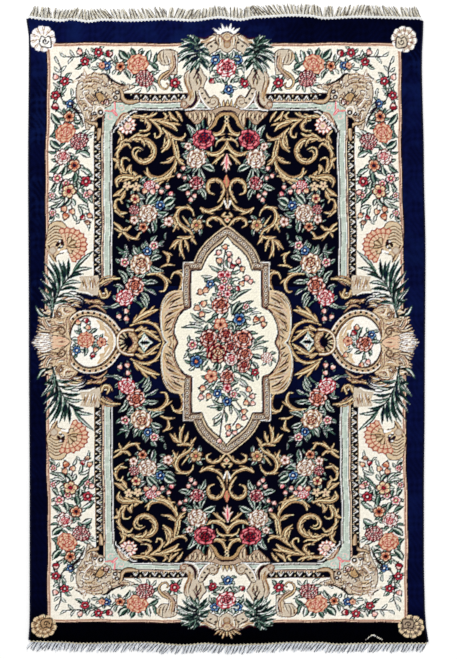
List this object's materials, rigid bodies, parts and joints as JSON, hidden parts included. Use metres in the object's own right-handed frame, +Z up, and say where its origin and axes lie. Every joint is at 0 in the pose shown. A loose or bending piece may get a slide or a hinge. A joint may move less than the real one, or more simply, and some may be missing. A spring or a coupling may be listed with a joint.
{
  "type": "aubusson rug",
  "caption": "Hand-knotted wool pile rug in an Aubusson floral medallion style, lying flat, with overcast sides and a knotted warp fringe at both ends.",
  "frame": {"origin": "centre of the underside, on the floor", "axes": "+Y along the rug's length towards its head end, +Z up out of the pile, +X across the width"},
  "size_m": [1.545, 2.477, 0.01],
  "materials": {
    "pile_wool": "dense cut wool pile, navy ground with cream, gold, green and rose figures",
    "edge_wool": "overcast navy wool binding",
    "warp_cotton": "undyed cotton warp ends"
  },
  "bodies": {
    "root": {"pile_body": "pile_wool", "selvedge_left": "edge_wool", "selvedge_right": "edge_wool", "fringe_head": "warp_cotton", "fringe_foot": "warp_cotton"}
  },
  "joints": []
}
